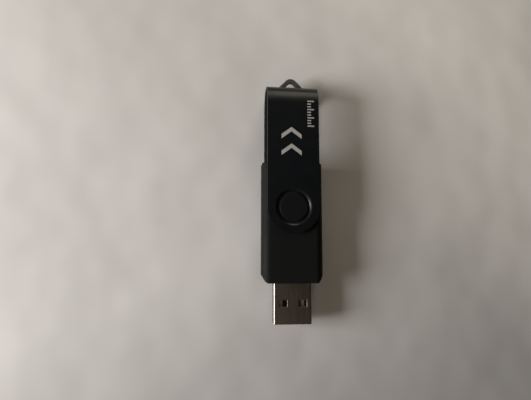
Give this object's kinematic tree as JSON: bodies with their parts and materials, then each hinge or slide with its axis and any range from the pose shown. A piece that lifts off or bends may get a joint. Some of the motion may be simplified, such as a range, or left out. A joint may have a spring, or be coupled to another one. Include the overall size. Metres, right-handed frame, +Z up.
{
  "type": "swivel usb flash drive",
  "caption": "Swivel USB flash drive: plastic case with a USB A plug, held between the plates of a folded metal clip that turns right round it, with a lanyard loop in the fold.",
  "frame": {"origin": "on the surface that the clip's lower plate lies on, under the middle of the drive's length and width, with the clip swung open", "axes": "+X across the case, +Y from the plug towards the clip's fold, +Z up through the pivot"},
  "size_m": [0.0194, 0.0801, 0.0104],
  "materials": {
    "clip_metal": "satin black coating on sheet metal",
    "case_plastic": "finely textured black",
    "button_plastic": "smooth satin black",
    "loop_plastic": "smooth satin black",
    "plug_steel": "satin plated steel",
    "insulator_plastic": "smooth black",
    "contact_gold": "gold plated",
    "board_laminate": "green solder mask on glass laminate",
    "chip_epoxy": "moulded epoxy",
    "tinned_leads": "tinned",
    "crystal_ceramic": "matt ceramic",
    "crystal_metal": "plated lid",
    "capacitor_ceramic": "matt ceramic with tinned ends",
    "resistor_ceramic": "dark film with tinned ends",
    "lamp_resin": "clear resin with tinned ends",
    "solder": "bright solder"
  },
  "bodies": {
    "drive_body": {"upper_shell": "case_plastic", "lower_shell": "case_plastic", "upper_pivot_button": "button_plastic", "lower_pivot_button": "button_plastic", "plug_shell": "plug_steel", "plug_insulator": "insulator_plastic", "contact_power": "contact_gold", "contact_data_minus": "contact_gold", "contact_data_plus": "contact_gold", "contact_ground": "contact_gold", "circuit_board": "board_laminate", "flash_memory": "chip_epoxy", "flash_memory_leads": "tinned_leads", "controller": "chip_epoxy", "controller_leads": "tinned_leads", "crystal_base": "crystal_ceramic", "crystal_lid": "crystal_metal", "voltage_regulator": "chip_epoxy", "capacitors": "capacitor_ceramic", "resistors": "resistor_ceramic", "status_lamp": "lamp_resin", "ear_solder": "solder"},
    "swivel_cover": {"swivel_clip": "clip_metal", "lanyard_loop": "loop_plastic"}
  },
  "joints": [
    {"name": "clip_swivel", "type": "hinge", "parent": "drive_body", "child": "swivel_cover", "pos_m": [0, -0.00375, 0.0052], "axis": [0, 0, 1], "continuous": true}
  ]
}
